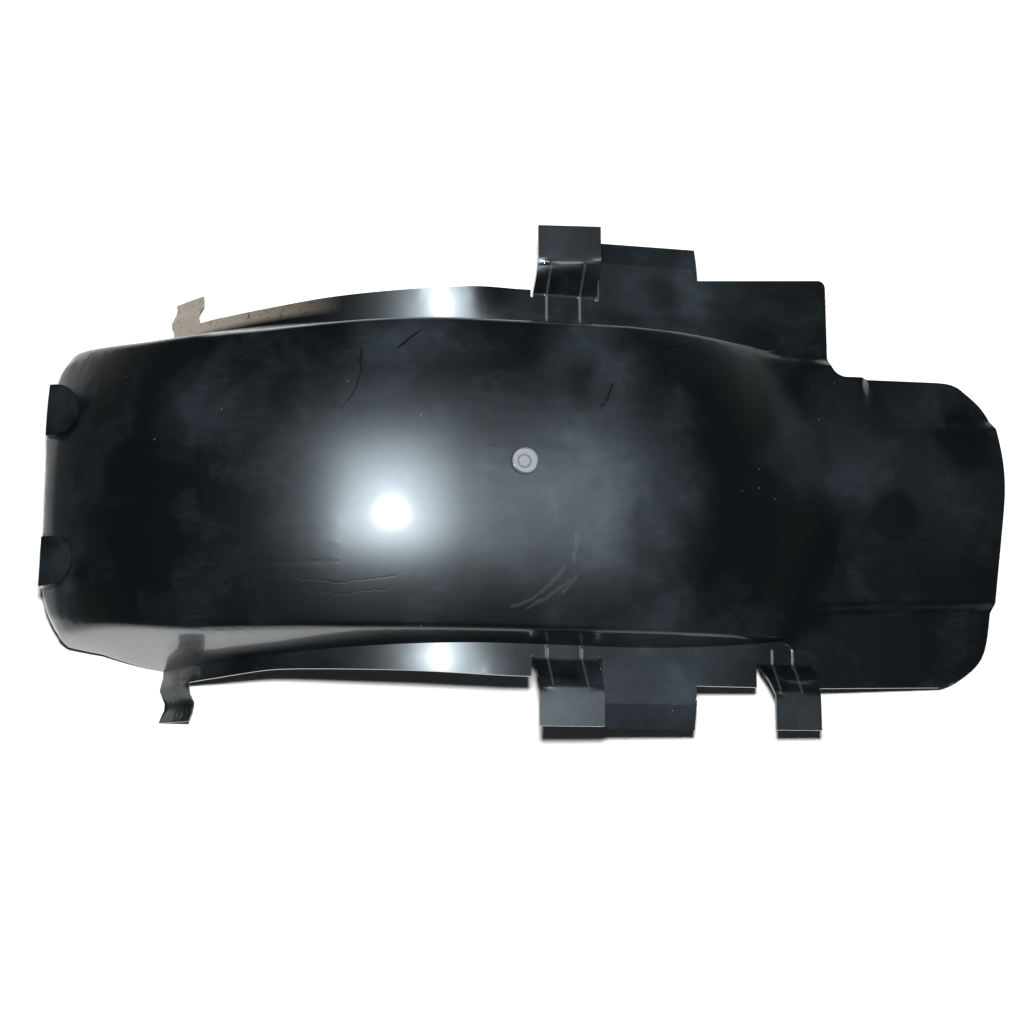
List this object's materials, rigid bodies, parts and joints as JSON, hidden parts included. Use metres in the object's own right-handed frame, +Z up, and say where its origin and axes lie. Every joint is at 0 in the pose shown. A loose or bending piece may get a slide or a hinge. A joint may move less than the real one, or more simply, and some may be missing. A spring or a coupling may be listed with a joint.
{
  "type": "motorcycle rear fender",
  "caption": "One-piece moulded motorcycle rear fender: an arched hood over the wheel with side flanges, raised frame clips, tail pads and a flat end plate.",
  "frame": {"origin": "centre of the box's bottom, on the surface the fender lies on", "axes": "+X along the length from the steep tail to the flat end plate, +Z up with the hood's outside upwards"},
  "size_m": [0.5985, 0.3034, 0.125],
  "materials": {
    "moulding": "satin"
  },
  "bodies": {
    "root": {"rear_fender": "moulding"}
  },
  "joints": []
}
